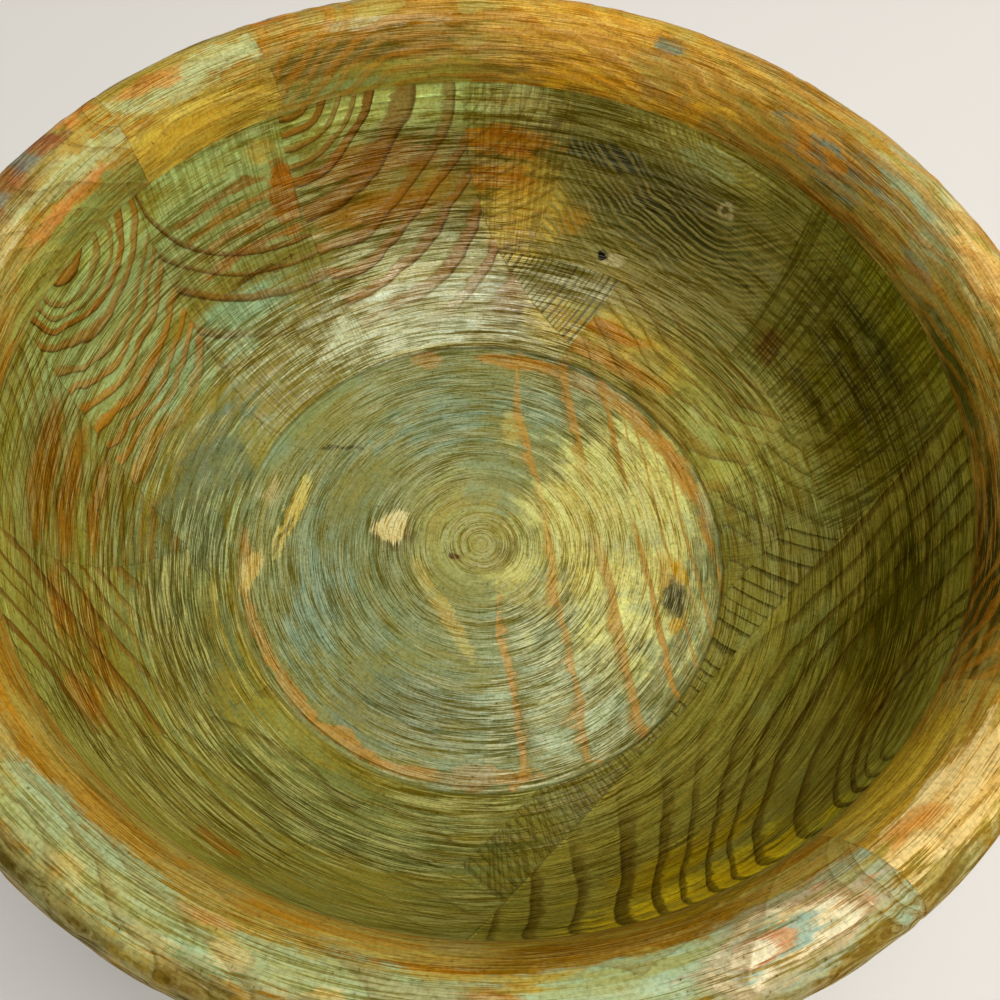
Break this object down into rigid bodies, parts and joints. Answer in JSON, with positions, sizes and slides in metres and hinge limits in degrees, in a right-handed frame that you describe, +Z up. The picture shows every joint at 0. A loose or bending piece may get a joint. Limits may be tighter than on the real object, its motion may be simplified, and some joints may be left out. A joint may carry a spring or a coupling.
{
  "type": "dough bowl",
  "caption": "Round turned wooden dough bowl with a flat floor, a deep curved wall and a rolled rim, glued up from softwood blocks, in worn green and ochre paint under satin varnish.",
  "frame": {"origin": "centre of the flat underside of the base", "axes": "+Z up along the axis of turning, +Y to the far side of the picture, +X to its right"},
  "size_m": [0.38, 0.38, 0.1506],
  "materials": {
    "base_wood": "worn green paint over softwood, satin varnish",
    "wall_wood_green": "worn green paint over softwood, satin varnish",
    "wall_wood_ochre": "green paint rubbed back to ochre, satin varnish",
    "wall_wood_olive": "dark olive paint over softwood, satin varnish",
    "rim_wood_amber": "paint rubbed back to amber wood, satin varnish",
    "rim_wood_teal": "worn teal and cream paint over amber wood, satin varnish"
  },
  "bodies": {
    "root": {"base_board_left": "base_wood", "base_board_right": "base_wood", "back_left_block_1": "wall_wood_green", "back_left_block_2": "wall_wood_ochre", "back_left_block_3": "wall_wood_green", "left_corner_block": "wall_wood_ochre", "back_corner_block": "wall_wood_ochre", "back_right_upper_block_1": "wall_wood_olive", "back_right_upper_block_2": "wall_wood_olive", "back_right_lower_block_1": "wall_wood_ochre", "back_right_lower_block_2": "wall_wood_green", "back_right_lower_block_3": "wall_wood_olive", "right_toe_block": "wall_wood_olive", "front_toe_block": "wall_wood_olive", "front_right_block": "wall_wood_ochre", "front_left_block_1": "wall_wood_green", "front_left_block_2": "wall_wood_green", "front_left_block_3": "wall_wood_ochre", "rim_back_block": "rim_wood_amber", "rim_right_board": "rim_wood_amber", "rim_front_block": "rim_wood_teal", "rim_left_board": "rim_wood_teal"}
  },
  "joints": []
}
